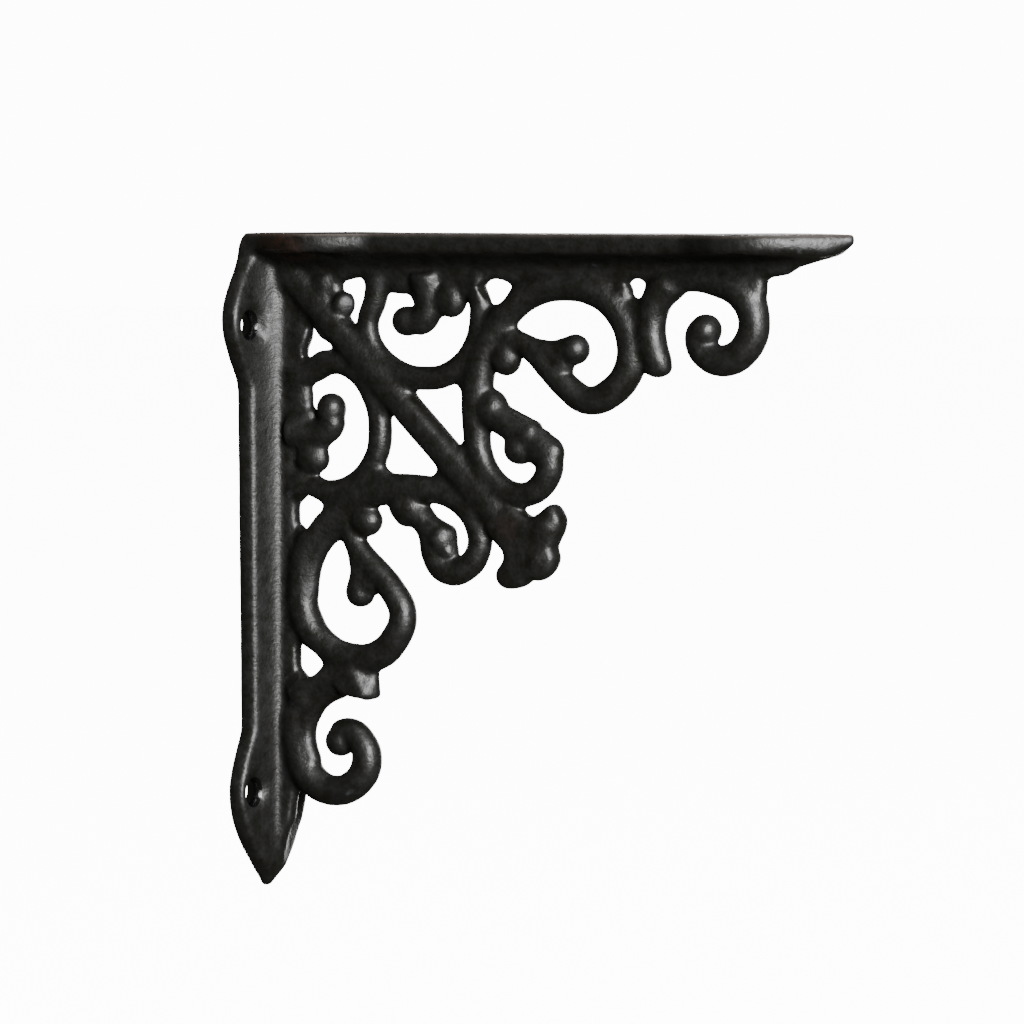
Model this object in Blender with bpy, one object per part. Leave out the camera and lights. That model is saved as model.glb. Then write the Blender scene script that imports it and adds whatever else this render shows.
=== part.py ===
"""Small cast iron shelf bracket: a wall plate and a shelf plate joined by a web of scrolls.

The whole bracket is one casting. Every scroll is drawn once, in the flat of one arm, and is
then laid along both arms, because the two arms mirror each other about the diagonal bar.
The pattern was carved by hand, so each arm also has a few beads and a link of its own.
In that flat, "along" runs from the corner towards the tip of the arm and "out" runs away from
the outer face of its plate. Figures in the lists of a scroll are millimetres.
"""

import math

import bmesh
import bpy
from mathutils import Vector

MM = 0.001

# Frame: the wall face is X = 0 and the shelf face is this high above the origin
SHELF_TOP = 16.6 * MM

# Both arms
ARM_LENGTH = 120.0
PLATE_EDGE = 3.2
ROOT_LEVELS = ((0.0, 6.5), (18.0, 6.5), (34.0, 5.9), (55.0, 5.6), (86.0, 5.1), (110.0, 4.2), (120.0, 3.2))
ROOT_HALF = 1.6
EDGE_BEVEL = 0.7
FOOT_INSET = 0.3
LEAF_ROOT_SHARE = 0.4
LEAF_BEVEL_SHARE = 0.5
STRAP_HALF = 7.0

# Rounded ears at the screw holes, and the leaf point past the outer ear
INNER_EAR_AT = 15.6
INNER_EAR_HALF = 12.4
INNER_EAR_RISE = 11.0
INNER_EAR_FALL = 12.4
OUTER_EAR_AT = 102.0
OUTER_EAR_HALF = 11.5
OUTER_EAR_RISE = 12.0
EAR_ROUNDNESS = 1.3
LEAF_ROUNDNESS = 1.05
TIP_HALF = 0.7
CORNER_HALF = 6.6
CORNER_ROUND = 4.0
TIP_THICKNESS = 1.7
TIP_TAPER = 4.0
STATIONS_ALONG = 44
STRAIGHT_MARGIN = 1.0
CORNER_STEPS = 4
SHELF_START = 0.02

# Screw holes, one each side of the web in every ear
HOLE_ACROSS = 7.5
INNER_HOLE_AT = 16.6
OUTER_HOLE_AT = 101.8
HOLE_RADIUS = 2.3
SINK_RADIUS = 3.6
SINK_DEPTH = 1.0
HOLE_SIDES = 14
CUTTER_BEHIND = 1.0
CUTTER_AHEAD = 4.0

# Rail: the edge that carries the scrolls along the middle of each plate
RAIL_DEPTH = 8.5
RAIL_CREST = ((1.2, 8.5), (99.0, 8.5), (103.5, 7.3), (107.6, 6.7), (109.3, 5.5), (111.5, 4.9), (116.4, 3.6))
RAIL_HALF_ROOT = 1.6
RAIL_HALF_CREST = 1.15
RAIL_FLANK = 0.15
RAIL_BEVEL_DEEP = 0.8
RAIL_BEVEL_WIDE = 0.6

# Scroll rods
ROD_SIDES = 8
ROD_STEP = 3.3
ROD_DEPTH_PLAIN = 0.55
ROD_DEPTH_RATIO = 0.78
BEAD_SEGMENTS = 10
BEAD_RINGS = 6

# Diagonal bar and the trefoil that ends it, measured along the diagonal
BAR_START = 3.0
BAR_RADIUS = 2.8
BAR_END = 72.0
TREFOIL_HALF = 2.4
TREFOIL_RIM = 1.2
LEAF_INSET = 0.86
TREFOIL = (
    (51.9, 48.4), (48.4, 51.9), (50.0, 54.6), (52.0, 56.9), (51.8, 58.6), (50.6, 60.2), (50.6, 61.6),
    (51.6, 62.8), (53.3, 63.0), (55.6, 62.4), (57.2, 61.3), (58.8, 61.4), (60.3, 60.6), (61.7, 58.9),
    (62.1, 57.1), (61.6, 55.7), (62.3, 54.2), (63.0, 52.4), (63.5, 51.0), (62.8, 49.2), (61.6, 48.1),
    (59.8, 49.2), (57.7, 50.6), (56.0, 50.1), (54.6, 49.2),
)

# Corner gusset between the two plates, a thin leaf that the bar crosses
GUSSET_REACH = 15.6
GUSSET_HALF = 1.2
GUSSET_CUT = 2.0
GUSSET_NOSE = 0.6

# Scrolls: each point is (along, out, half width of the rod)
RING = ((26.3, 7.6, 1.9), (25.4, 12.2, 1.8), (23.9, 16.4, 1.75), (25.2, 20.6, 1.75), (29.5, 24.6, 1.85),
        (35.4, 26.0, 2.0), (41.3, 24.6, 1.95), (45.3, 19.9, 1.75), (46.6, 14.6, 1.7), (46.5, 7.6, 1.9))
COMMA = ((36.0, 7.4, 3.0), (36.3, 12.0, 2.3), (35.6, 15.2, 2.2), (33.4, 16.2, 2.3))
LONG_SCROLL = ((54.4, 38.4, 1.9), (55.3, 37.0, 2.2), (58.5, 37.1, 2.4), (60.7, 39.9, 2.3), (59.9, 43.6, 2.2),
               (56.6, 46.2, 2.1), (52.9, 46.2, 2.1), (49.2, 43.6, 2.2), (46.8, 39.0, 2.3), (46.3, 33.5, 2.5),
               (46.4, 28.0, 2.6), (47.3, 22.6, 2.5), (50.2, 16.8, 2.3), (53.6, 12.8, 2.4), (58.2, 10.1, 2.4),
               (64.0, 9.2, 2.3), (70.5, 10.2, 2.7), (74.9, 13.8, 2.5), (77.0, 18.8, 2.4), (76.5, 23.9, 2.5),
               (72.9, 28.0, 2.4), (68.5, 29.4, 2.2), (64.4, 27.4, 2.3), (61.1, 24.4, 2.2), (58.0, 21.2, 2.1),
               (54.6, 19.2, 1.8), (50.2, 18.0, 1.5))
CLASP = ((57.5, 20.6, 2.0), (61.4, 21.0, 1.9), (65.4, 20.3, 2.2))
TONGUE = ((85.0, 8.4, 2.9), (82.3, 11.4, 2.6), (81.1, 15.6, 2.4), (81.5, 19.8, 2.4), (82.9, 23.7, 1.9))
END_SCROLL = ((85.0, 8.6, 1.9), (89.0, 7.6, 2.3), (94.0, 8.2, 2.5), (99.0, 10.4, 2.8), (101.1, 14.9, 2.6),
              (99.6, 19.5, 2.6), (95.5, 22.0, 2.6), (91.7, 21.0, 2.4), (90.2, 18.0, 2.4))

# The wall arm was cast with its middle scrolls a little further out and its end scroll lower
WALL_LEAN = 0.65
LEAN_START = (14.0, 19.0)
LEAN_FADE = (36.0, 44.0)
LEAN_ALONG = (48.0, 53.0)
WALL_DROP = 0.5
DROP_START = (9.0, 13.0)
DROP_ALONG = (93.0, 98.0)

# The wedge that ends the tongue of the wall arm
TONGUE_TIP = ((78.8, 19.4), (78.9, 23.8), (81.6, 24.2), (84.0, 24.2), (84.7, 23.2), (84.1, 20.2),
              (83.7, 17.8), (81.5, 16.6))
TONGUE_TIP_HALF = 2.2
TONGUE_TIP_RIM = 1.4

# Beads and buds: (along, out, half length, half width, half depth)
BEADS = (
    (31.9, 15.8, 2.8, 2.6, 2.5),
    (41.0, 11.4, 2.6, 3.2, 2.0),
    (38.2, 11.4, 2.4, 3.6, 1.7),
    (31.0, 8.4, 5.2, 2.7, 1.5),
    (44.8, 9.4, 2.2, 2.6, 1.5),
    (49.4, 15.4, 2.0, 2.2, 1.7),
    (44.6, 26.4, 2.2, 2.0, 1.7),
    (63.4, 22.9, 2.0, 2.2, 1.9),
    (49.2, 31.4, 2.8, 3.5, 2.6),
    (54.8, 38.2, 2.8, 2.6, 2.7),
    (52.0, 22.2, 2.7, 2.9, 2.2),
    (66.0, 20.3, 2.3, 2.4, 2.3),
    (91.7, 16.8, 3.0, 2.9, 2.7),
)
WALL_BEADS = (
    (19.5, 8.8, 4.2, 2.2, 1.5),
    (23.7, 10.2, 1.9, 3.4, 1.6),
    (33.4, 10.6, 2.0, 2.1, 1.6),
    (51.4, 15.6, 2.0, 2.2, 1.7),
    (52.7, 36.8, 2.1, 2.3, 2.4),
    (88.4, 10.0, 4.4, 2.4, 1.6),
    (85.2, 12.0, 2.0, 3.2, 1.6),
)
SHELF_BEADS = (
    (16.6, 10.2, 1.5, 2.4, 1.6),
    (78.2, 14.0, 2.0, 2.6, 1.6),
    (58.6, 37.8, 2.9, 3.2, 2.3),
)
WALL_LINK = ((49.4, 32.2, 2.5), (53.0, 35.3, 2.1), (57.6, 36.6, 2.3))
SHELF_LINK = ((49.4, 32.2, 2.5), (53.4, 34.2, 2.6), (57.6, 36.0, 2.6))

# A small boss with a twig, only on the shelf arm, beside the gusset
BOSS = (18.4, 12.8, 1.9, 1.9, 1.7)
TWIG = ((15.0, 7.8, 2.3), (14.8, 11.6, 2.1), (16.4, 15.8, 2.0))

IRON_COLOUR = (0.022, 0.021, 0.021, 1.0)
IRON_ROUGHNESS = 0.46
IRON_METALLIC = 0.75


def clear_scene():
    """Remove whatever the start file holds."""
    for item in list(bpy.data.objects):
        bpy.data.objects.remove(item, do_unlink=True)


def ramp(value, low, high):
    """Rise from nothing at low to one at high."""
    return min(max((value - low) / (high - low), 0.0), 1.0)


def on_wall(along, out, across=0.0):
    """Place a point of the flat on the wall arm."""
    inside = ramp(out, *LEAN_START) * (1.0 - ramp(out, *LEAN_FADE))
    out_here = out + WALL_LEAN * inside * ramp(along, *LEAN_ALONG)
    along_here = along + WALL_DROP * ramp(out, *DROP_START) * ramp(along, *DROP_ALONG)
    return Vector((out_here * MM, across * MM, SHELF_TOP - along_here * MM))


def on_shelf(along, out, across=0.0):
    """Place a point of the flat on the shelf arm."""
    return Vector((along * MM, across * MM, SHELF_TOP - out * MM))


def add_object(name, bm):
    """Turn a bmesh into a linked object with its faces pointing out."""
    bmesh.ops.recalc_face_normals(bm, faces=bm.faces)
    mesh = bpy.data.meshes.new(name)
    bm.to_mesh(mesh)
    bm.free()
    item = bpy.data.objects.new(name, mesh)
    bpy.context.collection.objects.link(item)
    return item


def loft(name, rings):
    """Skin closed rings of equal length into one closed body with flat ends."""
    bm = bmesh.new()
    loops = [[bm.verts.new(point) for point in ring] for ring in rings]
    count = len(loops[0])
    for near, far in zip(loops, loops[1:]):
        for i in range(count):
            j = (i + 1) % count
            bm.faces.new((near[i], near[j], far[j], far[i]))
    bm.faces.new(loops[0])
    bm.faces.new(loops[-1])
    return add_object(name, bm)


def half_width(along):
    """Half the width of a plate: strap, two ears and the leaf point."""
    if along > OUTER_EAR_AT:
        turn = (along - OUTER_EAR_AT) / (ARM_LENGTH - OUTER_EAR_AT) * math.pi / 2
        return max(OUTER_EAR_HALF * max(math.cos(turn), 0.0) ** LEAF_ROUNDNESS, TIP_HALF)

    def bump(centre, rise, fall):
        reach = rise if along < centre else fall
        turn = min(abs(along - centre) / reach, 1.0) * math.pi / 2
        return max(math.cos(turn), 0.0) ** EAR_ROUNDNESS

    inner = bump(INNER_EAR_AT, INNER_EAR_RISE, INNER_EAR_FALL)
    outer = bump(OUTER_EAR_AT, OUTER_EAR_RISE, OUTER_EAR_RISE)
    strap = CORNER_HALF if along < INNER_EAR_AT - INNER_EAR_RISE else STRAP_HALF
    if along < CORNER_ROUND:
        strap -= CORNER_ROUND - math.sqrt(CORNER_ROUND ** 2 - (CORNER_ROUND - along) ** 2)
    return strap + (INNER_EAR_HALF - STRAP_HALF) * inner + (OUTER_EAR_HALF - STRAP_HALF) * outer


def root_depth(along):
    """Thickness of a plate beside the rail, which falls away to the tip."""
    for (start, low), (end, high) in zip(ROOT_LEVELS, ROOT_LEVELS[1:]):
        if along <= end:
            return low + (high - low) * (along - start) / (end - start)
    return PLATE_EDGE


def plate_section(place, along):
    """One cross section of a plate, flat behind and rising to its root in front."""
    half = half_width(along)
    bevel = min(EDGE_BEVEL, half * LEAF_BEVEL_SHARE)
    thinning = max(along - ARM_LENGTH + TIP_TAPER, 0.0) / TIP_TAPER * (PLATE_EDGE - TIP_THICKNESS)
    edge = PLATE_EDGE - thinning
    root = root_depth(along) - thinning
    root_half = min(ROOT_HALF, half * LEAF_ROOT_SHARE)
    foot = max(min(STRAP_HALF, half - bevel) - FOOT_INSET, root_half)
    outline = ((0.0, -half), (edge - bevel, -half), (edge, -half + bevel), (edge, -foot), (root, -root_half),
               (root, root_half), (edge, foot), (edge, half - bevel), (edge - bevel, half), (0.0, half))
    return [place(along, out, across) for out, across in outline]


def plate_stations(start):
    """Places along a plate, close together where its outline turns."""
    spread = [start + (ARM_LENGTH - start) * i / STATIONS_ALONG for i in range(STATIONS_ALONG + 1)]
    strap_start = INNER_EAR_AT + INNER_EAR_FALL
    strap_end = OUTER_EAR_AT - OUTER_EAR_RISE
    ends = (strap_start, (strap_start + strap_end) / 2, strap_end)
    plain = (strap_start - STRAIGHT_MARGIN, strap_end + STRAIGHT_MARGIN)
    kept = [s for s in spread if not plain[0] < s < plain[1] and s - start > CORNER_ROUND]
    turns = [i * math.pi / (2 * CORNER_STEPS) for i in range(CORNER_STEPS + 1)]
    corner = [start + CORNER_ROUND * (1 - math.cos(turn)) for turn in turns]
    return sorted(kept + corner + list(ends))


def add_plate(name, place, start):
    """A plate with its ears and its leaf point."""
    return loft(name, [plate_section(place, along) for along in plate_stations(start)])


def add_rail(name, place):
    """The rail in the middle of a plate, running out in a short slope."""
    inside = PLATE_EDGE * 0.5
    flank = RAIL_HALF_CREST + RAIL_FLANK
    crest = RAIL_HALF_CREST - RAIL_BEVEL_WIDE
    rings = []
    for along, depth in RAIL_CREST:
        shoulder = depth - RAIL_BEVEL_DEEP
        section = ((inside, -RAIL_HALF_ROOT), (shoulder, -flank), (depth, -crest),
                   (depth, crest), (shoulder, flank), (inside, RAIL_HALF_ROOT))
        rings.append([place(along, out, across) for out, across in section])
    return loft(name, rings)


def smooth_path(points):
    """Follow a smooth curve through the given points with an even step."""
    ends = [tuple(2 * a - b for a, b in zip(points[0], points[1]))]
    tail = [tuple(2 * a - b for a, b in zip(points[-1], points[-2]))]
    knots = [Vector(p) for p in ends + list(points) + tail]
    path = [knots[1]]
    for i in range(1, len(knots) - 2):
        a, b, c, d = knots[i - 1:i + 3]
        steps = max(1, round((c - b).to_2d().length / ROD_STEP))
        for k in range(1, steps + 1):
            t = k / steps
            path.append(0.5 * ((2 * b) + (c - a) * t + (2 * a - 5 * b + 4 * c - d) * t * t
                               + (3 * b - a - 3 * c + d) * t ** 3))
    return path


def add_rod(name, place, points):
    """A rod of oval section along a scroll, its half width given at each point."""
    path = smooth_path(points)
    rings = []
    for i, here in enumerate(path):
        ahead = path[min(i + 1, len(path) - 1)] - path[max(i - 1, 0)]
        along = ahead.to_2d().normalized()
        side = Vector((-along.y, along.x))
        depth = ROD_DEPTH_PLAIN + ROD_DEPTH_RATIO * here.z
        ring = []
        for k in range(ROD_SIDES):
            turn = 2 * math.pi * (k + 0.5) / ROD_SIDES
            offset = side * here.z * math.cos(turn) / math.cos(math.pi / ROD_SIDES)
            ring.append(place(here.x + offset.x, here.y + offset.y,
                              depth * math.sin(turn) / math.cos(math.pi / ROD_SIDES)))
        rings.append(ring)
    return loft(name, rings)


def add_bead(name, place, bead):
    """An egg-shaped bead or bud."""
    along, out, half_length, half_wide, half_depth = bead
    bm = bmesh.new()
    bmesh.ops.create_uvsphere(bm, u_segments=BEAD_SEGMENTS, v_segments=BEAD_RINGS, radius=1.0)
    for vert in bm.verts:
        across = vert.co.z * half_depth
        vert.co = place(along + vert.co.x * half_length, out + vert.co.y * half_wide, across)
    return add_object(name, bm)


def diagonal(reach, side):
    """Turn a place measured along the diagonal bar into one in the flat."""
    root = math.sqrt(2.0)
    return (reach + side) / root, (reach - side) / root


def add_bar(name):
    """The diagonal bar."""
    points = [(*diagonal(reach, 0.0), BAR_RADIUS) for reach in (BAR_START, BAR_END / 2, BAR_END)]
    return add_rod(name, on_shelf, points)


def add_leaf(name, place, outline, half, rim):
    """A leaf cut to an outline, thickest in its middle, with a straight rim."""
    middle = (sum(p[0] for p in outline) / len(outline), sum(p[1] for p in outline) / len(outline))
    rings = []
    for share, side in ((LEAF_INSET, -half), (1.0, -rim), (1.0, rim), (LEAF_INSET, half)):
        ring = []
        for along, out in outline:
            ring.append(place(middle[0] + (along - middle[0]) * share,
                              middle[1] + (out - middle[1]) * share, side))
        rings.append(ring)
    return loft(name, rings)


def add_gusset(name):
    """The thin leaf that fills the corner between the plates."""
    inside = PLATE_EDGE * 0.5
    reach = GUSSET_REACH
    corners = ((inside, inside), (reach - GUSSET_CUT, inside), (reach, inside + GUSSET_CUT),
               (reach + GUSSET_NOSE, reach + GUSSET_NOSE), (inside + GUSSET_CUT, reach),
               (inside, reach - GUSSET_CUT))
    return loft(name, [[on_shelf(a, o, side) for a, o in corners] for side in (-GUSSET_HALF, GUSSET_HALF)])


def add_arm(label, place, link, own_beads):
    """The rail, scrolls and beads of one arm."""
    made = [add_rail(label + "_rail", place)]
    rods = {"ring": RING, "comma": COMMA, "long": LONG_SCROLL, "clasp": CLASP,
            "tongue": TONGUE, "end": END_SCROLL, "link": link}
    for title, points in rods.items():
        made.append(add_rod(f"{label}_{title}", place, points))
    for i, bead in enumerate(BEADS + own_beads):
        made.append(add_bead(f"{label}_bead_{i}", place, bead))
    return made


def add_hole(name, place, along, side):
    """A cutter for one countersunk screw hole."""
    across = side * HOLE_ACROSS
    profile = ((-CUTTER_BEHIND, HOLE_RADIUS), (PLATE_EDGE - SINK_DEPTH, HOLE_RADIUS),
               (PLATE_EDGE, SINK_RADIUS), (PLATE_EDGE + CUTTER_AHEAD, SINK_RADIUS))
    rings = []
    for out, radius in profile:
        ring = []
        for k in range(HOLE_SIDES):
            turn = 2 * math.pi * (k + 0.5) / HOLE_SIDES
            ring.append(place(along + radius * math.cos(turn), out, across + radius * math.sin(turn)))
        rings.append(ring)
    cutter = loft(name, rings)
    cutter.hide_render = True
    cutter.display_type = "WIRE"
    return cutter


def boolean(target, operation, cutters):
    """Apply one Boolean modifier that takes all the given objects at once."""
    group = bpy.data.collections.new(operation.lower() + "_tools")
    bpy.context.scene.collection.children.link(group)
    for item in cutters:
        group.objects.link(item)
    modifier = target.modifiers.new(operation.lower(), "BOOLEAN")
    modifier.operation = operation
    modifier.operand_type = "COLLECTION"
    modifier.collection = group
    modifier.solver = "EXACT"
    depsgraph = bpy.context.evaluated_depsgraph_get()
    mesh = bpy.data.meshes.new_from_object(target.evaluated_get(depsgraph))
    target.modifiers.clear()
    target.data = mesh
    for item in cutters:
        bpy.data.objects.remove(item, do_unlink=True)
    bpy.data.collections.remove(group)


def iron():
    """Black iron, satin, with the rough skin of a sand casting."""
    material = bpy.data.materials.new("cast_iron")
    material.use_nodes = True
    shader = material.node_tree.nodes["Principled BSDF"]
    shader.inputs["Base Color"].default_value = IRON_COLOUR
    shader.inputs["Roughness"].default_value = IRON_ROUGHNESS
    shader.inputs["Metallic"].default_value = IRON_METALLIC
    return material


def add_bracket():
    """The whole casting as one body."""
    bracket = add_plate("bracket", on_wall, 0.0)
    pieces = [add_plate("shelf_plate", on_shelf, SHELF_START)]
    pieces += [add_bar("bar"), add_gusset("gusset")]
    pieces += [add_leaf("trefoil", on_shelf, TREFOIL, TREFOIL_HALF, TREFOIL_RIM)]
    pieces += [add_leaf("tongue_tip", on_wall, TONGUE_TIP, TONGUE_TIP_HALF, TONGUE_TIP_RIM)]
    pieces += add_arm("wall", on_wall, WALL_LINK, WALL_BEADS)
    pieces += add_arm("shelf", on_shelf, SHELF_LINK, SHELF_BEADS)
    pieces += [add_bead("boss", on_shelf, BOSS), add_rod("twig", on_shelf, TWIG)]
    boolean(bracket, "UNION", pieces)
    holes = []
    for label, place in (("wall", on_wall), ("shelf", on_shelf)):
        for along in (INNER_HOLE_AT, OUTER_HOLE_AT):
            for side in (-1, 1):
                holes.append(add_hole(f"{label}_hole_{along}_{side}", place, along, side))
    boolean(bracket, "DIFFERENCE", holes)
    bracket.data.materials.clear()
    bracket.data.materials.append(iron())
    bracket.data.name = "bracket"
    return bracket


def main():
    clear_scene()
    add_bracket()


main()
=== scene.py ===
"""Looks of a small cast iron shelf bracket: its sand-cast skin, the studio and the camera.

The bracket is one casting. Its plates, rails, scrolls and beads are modelled one by one, laid
along both arms, fused into one skin and roughened as a sand mould leaves it. Figures in the
stroke, outline and bead tables are millimetres in the flat of an arm: "along" runs from the
corner towards the tip, and "out" runs away from the outer face of the plate. A stroke's third
figure is half the thickness of its rod.
"""

import logging
import math
from collections.abc import Iterator
from contextlib import contextmanager
from dataclasses import dataclass, field
from enum import Enum

import bpy
from mathutils import Matrix, Vector

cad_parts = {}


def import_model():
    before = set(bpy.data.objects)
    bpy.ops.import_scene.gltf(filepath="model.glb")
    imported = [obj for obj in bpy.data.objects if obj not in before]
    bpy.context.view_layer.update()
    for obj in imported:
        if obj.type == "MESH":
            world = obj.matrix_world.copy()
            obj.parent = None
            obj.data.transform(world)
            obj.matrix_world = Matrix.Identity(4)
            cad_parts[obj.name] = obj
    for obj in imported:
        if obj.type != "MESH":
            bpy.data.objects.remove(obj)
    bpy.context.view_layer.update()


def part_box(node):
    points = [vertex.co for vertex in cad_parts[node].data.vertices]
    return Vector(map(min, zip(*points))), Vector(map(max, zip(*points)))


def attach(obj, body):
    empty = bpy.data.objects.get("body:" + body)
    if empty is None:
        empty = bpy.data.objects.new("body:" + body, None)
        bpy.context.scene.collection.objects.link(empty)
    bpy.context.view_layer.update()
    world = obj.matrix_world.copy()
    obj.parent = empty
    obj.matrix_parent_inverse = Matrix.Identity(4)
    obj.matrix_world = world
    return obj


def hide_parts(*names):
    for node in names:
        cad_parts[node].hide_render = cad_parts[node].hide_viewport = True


logger = logging.getLogger(__name__)

MM = 0.001
SHELF_TOP = 16.6
IMAGE_SIDE = 1024
SENSOR = 36.0

Span = tuple[float, float]
Place = tuple[float, float, float]
Noise = tuple[float, float, float]
Colour = tuple[float, float, float, float]
Stroke = tuple[tuple[float, float, float], ...]
Outline = tuple[tuple[float, float], ...]

RING: Stroke = (
    (26.1, 7.6, 2.2), (25.1, 12.2, 1.95), (23.6, 16.4, 1.8), (25.0, 20.7, 1.7), (29.5, 24.6, 1.85),
    (35.4, 26.0, 2.0), (41.3, 24.6, 1.95), (45.5, 19.9, 1.7), (46.8, 14.6, 1.7), (46.6, 7.6, 2.0),
)
COMMA: Stroke = ((36.0, 7.4, 3.2), (36.3, 12.0, 2.3), (35.6, 15.2, 2.2), (33.4, 16.2, 2.3))
LONG_SCROLL: Stroke = (
    (54.4, 38.4, 1.9), (55.3, 37.0, 2.2), (58.5, 37.1, 2.4), (60.7, 39.9, 2.3), (59.9, 43.6, 2.2),
    (56.6, 46.2, 2.05), (52.9, 46.2, 2.05), (49.0, 43.6, 2.05), (46.5, 39.0, 2.1), (46.0, 33.5, 2.5),
    (46.2, 28.0, 2.65), (47.3, 22.6, 2.5), (50.2, 16.8, 2.35), (53.6, 12.9, 2.5), (58.2, 10.2, 2.5),
    (64.0, 9.3, 2.4), (70.5, 10.2, 2.7), (74.9, 13.8, 2.5), (77.0, 18.8, 2.4), (76.6, 23.9, 2.55),
    (72.9, 28.0, 2.5), (68.5, 29.4, 2.35), (64.5, 27.2, 2.25), (61.2, 24.2, 2.15), (58.1, 21.1, 2.1),
    (54.6, 19.2, 1.8), (50.2, 18.0, 1.5),
)
CLASP: Stroke = ((57.5, 20.6, 2.0), (61.4, 21.0, 1.9), (65.4, 20.3, 2.2))
WALL_LINK: Stroke = ((49.4, 32.2, 2.5), (53.0, 35.3, 2.1), (57.6, 36.6, 2.3))
SHELF_LINK: Stroke = ((49.4, 32.2, 2.5), (53.4, 34.2, 2.6), (57.6, 36.0, 2.6))
TONGUE: Stroke = (
    (85.0, 8.4, 3.0), (82.3, 11.4, 2.6), (81.1, 15.6, 2.4), (81.5, 19.8, 2.4), (82.5, 22.4, 2.2),
    (82.9, 23.5, 2.0),
)
END_SCROLL: Stroke = (
    (85.0, 8.6, 1.9), (89.0, 7.6, 2.3), (94.0, 8.2, 2.5), (99.0, 10.4, 2.8), (101.1, 14.9, 2.6),
    (99.6, 19.5, 2.6), (95.5, 22.0, 2.6), (91.9, 21.0, 2.4), (90.3, 18.2, 2.3), (91.1, 16.0, 2.1),
)
WALL_HOOD: Stroke = (
    (53.9, 17.1, 1.5), (55.2, 14.8, 1.6), (58.2, 12.6, 1.6), (61.9, 11.2, 1.6), (66.5, 10.8, 1.5),
)
WALL_SWEEP: Stroke = (
    (82.8, 17.2, 1.6), (84.2, 13.9, 1.8), (87.6, 10.9, 1.8), (91.8, 9.6, 1.8), (96.6, 10.9, 1.9),
)
TWIG: Stroke = ((15.0, 7.8, 2.3), (14.8, 11.6, 2.1), (16.4, 15.8, 2.0))
TONGUE_TIP: Outline = (
    (78.8, 19.4), (78.8, 24.2), (81.6, 24.4), (84.2, 24.4), (84.0, 21.2), (83.4, 17.8), (81.5, 16.6),
)
TONGUE_RIDGE: Outline = ((78.8, 20.2), (84.2, 23.0))
TREFOIL: Outline = (
    (51.9, 48.4), (48.4, 51.9), (50.0, 54.6), (52.0, 56.9), (51.8, 58.6), (50.6, 60.2), (50.6, 61.6),
    (51.6, 62.8), (53.3, 63.0), (55.6, 62.4), (57.2, 61.3), (58.8, 61.4), (60.3, 60.6), (61.7, 58.9),
    (62.1, 57.1), (61.6, 55.7), (62.3, 54.2), (63.0, 52.4), (63.5, 51.0), (62.8, 49.2), (61.6, 48.1),
    (59.8, 49.2), (57.7, 50.6), (56.0, 50.1), (54.6, 49.2),
)
LEAF_HIGH: Stroke = ((57.4, 54.6, 1.8), (59.4, 53.2, 2.7), (60.8, 51.4, 2.9), (61.4, 50.2, 2.1))
LEAF_MIDDLE: Stroke = ((56.6, 56.8, 1.8), (58.3, 57.7, 2.8), (59.3, 58.4, 2.9))
LEAF_LOW: Stroke = ((54.6, 57.6, 1.8), (54.2, 59.6, 2.4), (52.9, 61.0, 2.0))
RAIL: Outline = (
    (1.2, 8.3), (99.0, 8.3), (103.5, 7.3), (107.6, 6.7), (109.3, 5.5), (111.5, 4.9), (116.4, 3.6),
    (116.4, 1.6), (1.2, 1.6),
)

# The wall arm was cast with its middle scrolls a little further out and its end scroll lower.
# Each shift is faded in and out between the pairs of places below, in the same millimetres.
LEAN = 0.65
LEAN_OUT = ((14.0, 19.0), (36.0, 44.0))
LEAN_ALONG = (48.0, 53.0)
BULGE = 0.4
BULGE_OUT = ((19.0, 24.0), (30.0, 34.0))
BULGE_ALONG = ((47.5, 50.0), (74.0, 79.0))
DROP = 0.5
DROP_OUT = (9.0, 13.0)
DROP_ALONG = (88.0, 93.0)


def ramp(value: float, low: float, high: float) -> float:
    """Rise from nothing at low to one at high."""
    return min(max((value - low) / (high - low), 0.0), 1.0)


class Arm(Enum):
    """The two arms of the bracket, which mirror each other about the diagonal bar."""

    WALL = "wall"
    SHELF = "shelf"

    def place(self, along: float, out: float, across: float = 0.0) -> Vector:
        """Turn millimetres in the flat of this arm into a point of the frame.

        Args:
            along: Distance from the corner towards the tip.
            out: Distance from the outer face of the plate.
            across: Distance from the middle of the web.

        Returns:
            The point in metres.
        """
        if self is Arm.WALL:
            level = SHELF_TOP - along - self.drop(along, out)
            return Vector((out + self.lean(along, out), across, level)) * MM
        return Vector((along, across, SHELF_TOP - out)) * MM

    @staticmethod
    def lean(along: float, out: float) -> float:
        """How much further out the middle scrolls of the wall arm were cast."""
        whole = ramp(out, *LEAN_OUT[0]) * (1.0 - ramp(out, *LEAN_OUT[1])) * ramp(along, *LEAN_ALONG)
        outer = ramp(out, *BULGE_OUT[0]) * (1.0 - ramp(out, *BULGE_OUT[1]))
        outer *= ramp(along, *BULGE_ALONG[0]) * (1.0 - ramp(along, *BULGE_ALONG[1]))
        return LEAN * whole + BULGE * outer

    @staticmethod
    def drop(along: float, out: float) -> float:
        """How much lower the end scroll of the wall arm was cast."""
        return DROP * ramp(out, *DROP_OUT) * ramp(along, *DROP_ALONG)


@dataclass(frozen=True)
class Bead:
    """An egg-shaped bead, bud or fillet of a scroll, in millimetres.

    Args:
        along: Its middle along the arm.
        out: Its middle away from the outer face.
        reach: Half its length along the arm.
        rise: Half its length away from the face.
        depth: Half its thickness across the web.
    """

    along: float
    out: float
    reach: float
    rise: float
    depth: float


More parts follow.
